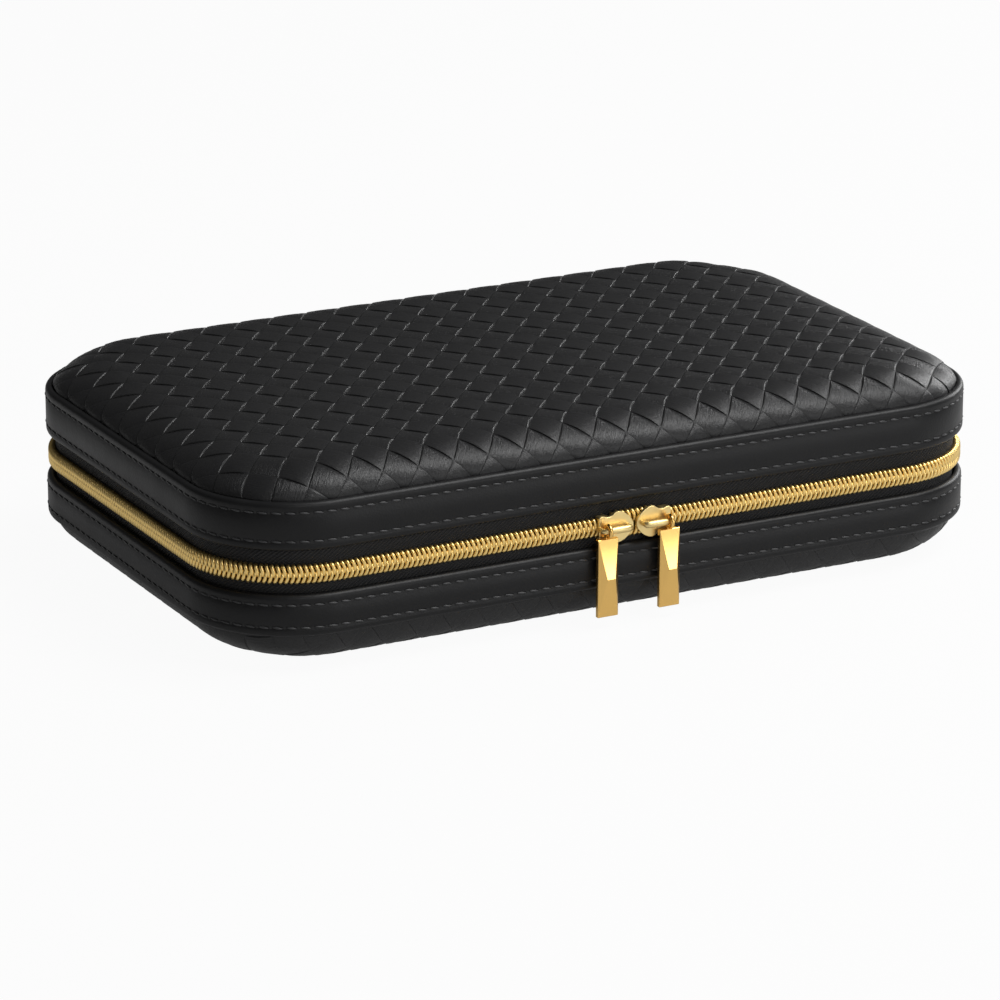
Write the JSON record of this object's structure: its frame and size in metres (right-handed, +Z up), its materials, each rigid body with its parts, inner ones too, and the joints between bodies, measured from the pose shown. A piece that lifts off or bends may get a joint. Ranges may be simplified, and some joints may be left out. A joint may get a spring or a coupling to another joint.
{
  "type": "jewellery case",
  "caption": "Low rounded-rectangle leather jewellery case: basket-weave padded top and bottom, smooth stitched bands, gold zip on three sides and a leather hinge behind.",
  "frame": {"origin": "centre of the flat rest face under the base", "axes": "+X along the length, to the right seen from the front; front at -Y, hinge at +Y; +Z up"},
  "size_m": [0.26, 0.1693, 0.0609],
  "materials": {
    "embossed_leather": "satin, basket-weave embossing",
    "smooth_leather": "satin, fine grain, stitched",
    "board": "raw grey board",
    "foam": "open-cell foam",
    "velvet": "short pile",
    "zip_tape": "twill",
    "zip_chain": "metallised gold",
    "gold_metal": "polished gold plate"
  },
  "bodies": {
    "base": {"base_shell": "board", "base_panel": "embossed_leather", "base_crown_foam": "foam", "base_band": "smooth_leather", "base_band_foam": "foam", "base_lining": "velvet", "base_floor_pad": "velvet", "base_tape": "zip_tape", "base_chain": "zip_chain", "hinge_strip": "smooth_leather", "ring_roll_1": "velvet", "ring_roll_2": "velvet", "ring_roll_3": "velvet", "ring_roll_4": "velvet", "ring_roll_5": "velvet", "divider_long": "velvet", "divider_cross_1": "velvet", "divider_cross_2": "velvet", "divider_cross_3": "velvet"},
    "lid": {"lid_shell": "board", "lid_panel": "embossed_leather", "lid_crown_foam": "foam", "lid_band": "smooth_leather", "lid_band_foam": "foam", "lid_lining": "velvet", "lid_pad": "velvet", "lid_tape": "zip_tape", "lid_chain": "zip_chain"},
    "left_slider": {"left_slider": "gold_metal", "left_bridge": "gold_metal"},
    "right_slider": {"right_slider": "gold_metal", "right_bridge": "gold_metal"},
    "left_pull": {"left_pull": "gold_metal"},
    "right_pull": {"right_pull": "gold_metal"}
  },
  "joints": [
    {"name": "lid_hinge", "type": "hinge", "parent": "base", "child": "lid", "pos_m": [0, 0.0824, 0.0301], "axis": [-1, 0, 0], "range_deg": [0, 165], "deforming": ["hinge_strip"]},
    {"name": "left_slider_travel", "type": "slide", "parent": "base", "child": "left_slider", "axis": [-1, 0, 0], "range_m": [0, 0.082], "deforming": ["base_tape", "base_chain", "lid_tape", "lid_chain"]},
    {"name": "right_slider_travel", "type": "slide", "parent": "base", "child": "right_slider", "axis": [1, 0, 0], "range_m": [0, 0.08], "deforming": ["base_tape", "base_chain", "lid_tape", "lid_chain"]},
    {"name": "left_pull_swing", "type": "hinge", "parent": "left_slider", "child": "left_pull", "pos_m": [-0.0094, -0.0853, 0.0301], "axis": [-1, 0, 0], "range_deg": [0, 175]},
    {"name": "right_pull_swing", "type": "hinge", "parent": "right_slider", "child": "right_pull", "pos_m": [0.0114, -0.0853, 0.0301], "axis": [-1, 0, 0], "range_deg": [0, 175]}
  ]
}
